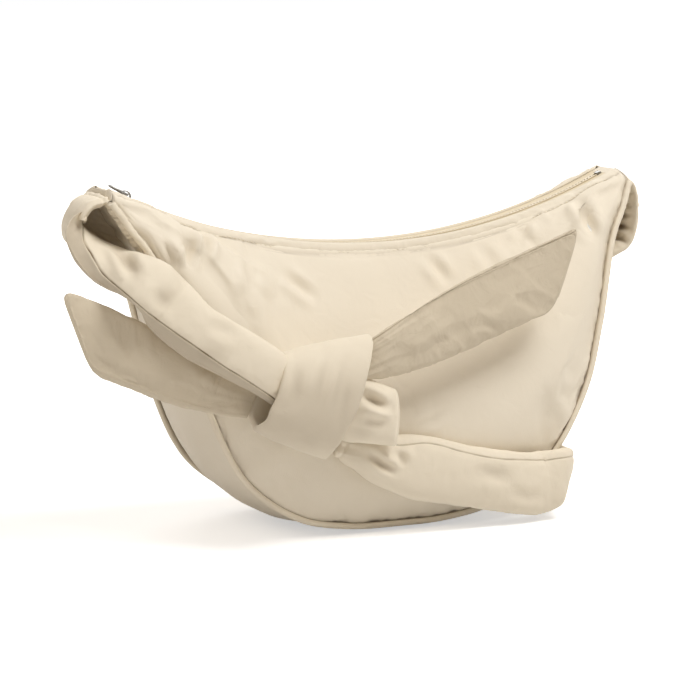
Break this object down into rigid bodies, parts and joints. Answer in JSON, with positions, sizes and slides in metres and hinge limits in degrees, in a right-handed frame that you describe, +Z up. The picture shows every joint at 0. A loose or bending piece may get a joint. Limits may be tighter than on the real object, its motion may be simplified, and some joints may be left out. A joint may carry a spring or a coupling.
{
  "type": "japanese knot bag",
  "caption": "Padded half-moon shoulder bag with a zip along its hollow top edge and a wide padded strap tied in a knot on the front.",
  "frame": {"origin": "middle of the flat patch that the bag rests on", "axes": "+Z up, X across the bag with +X to the viewer's right, -Y out of the front panel that carries the knot"},
  "size_m": [0.4339, 0.1758, 0.2337],
  "materials": {
    "outer_cloth": "matt, padded, plain weave",
    "piping_cloth": "matt",
    "strap_cloth": "matt, padded, wrinkled",
    "wadding_felt": "matt, loose fibre",
    "lining_cloth": "slightly glossy",
    "zip_nylon": "matt",
    "slider_metal": "dark nickel, polished"
  },
  "bodies": {
    "bag": {"front_panel": "outer_cloth", "back_panel": "outer_cloth", "gusset": "outer_cloth", "front_wadding": "wadding_felt", "back_wadding": "wadding_felt", "gusset_wadding": "wadding_felt", "front_lining": "lining_cloth", "back_lining": "lining_cloth", "gusset_lining": "lining_cloth", "front_piping": "piping_cloth", "back_piping": "piping_cloth", "zip_tape_front": "zip_nylon", "zip_tape_back": "zip_nylon", "zip_teeth_front": "zip_nylon", "zip_teeth_back": "zip_nylon", "zip_bottom_stop": "slider_metal", "zip_top_stop_front": "slider_metal", "zip_top_stop_back": "slider_metal", "zip_end_tab_left": "lining_cloth", "zip_end_tab_right": "lining_cloth", "knot_band": "strap_cloth", "knot_crossing": "strap_cloth", "knot_bight": "strap_cloth", "strap_left": "strap_cloth", "strap_right": "strap_cloth"},
    "slider": {"zip_slider_body": "slider_metal", "zip_slider_crown": "slider_metal"},
    "pull": {"zip_pull": "slider_metal"},
    "left_tail": {"tail_left": "strap_cloth"},
    "right_tail": {"tail_right": "strap_cloth"}
  },
  "joints": [
    {"name": "slider_travel", "type": "hinge", "parent": "bag", "child": "slider", "pos_m": [0, 0, 0.613], "axis": [0, -1, 0], "range_deg": [0, 47.5], "deforming": ["zip_teeth_front", "zip_teeth_back"]},
    {"name": "pull_swing", "type": "hinge", "parent": "slider", "child": "pull", "pos_m": [-0.17132, 0, 0.22701], "axis": [0, 1, 0], "range_deg": [0, 150]},
    {"name": "tail_left_swing", "type": "hinge", "parent": "bag", "child": "left_tail", "pos_m": [-0.11887, -0.07462, 0.08894], "axis": [0, -1, 0], "range_deg": [0, 35]},
    {"name": "tail_right_lift", "type": "hinge", "parent": "bag", "child": "right_tail", "pos_m": [-0.04115, -0.09165, 0.12352], "axis": [-0.3709, 0, -0.9287], "range_deg": [0, 50]}
  ]
}
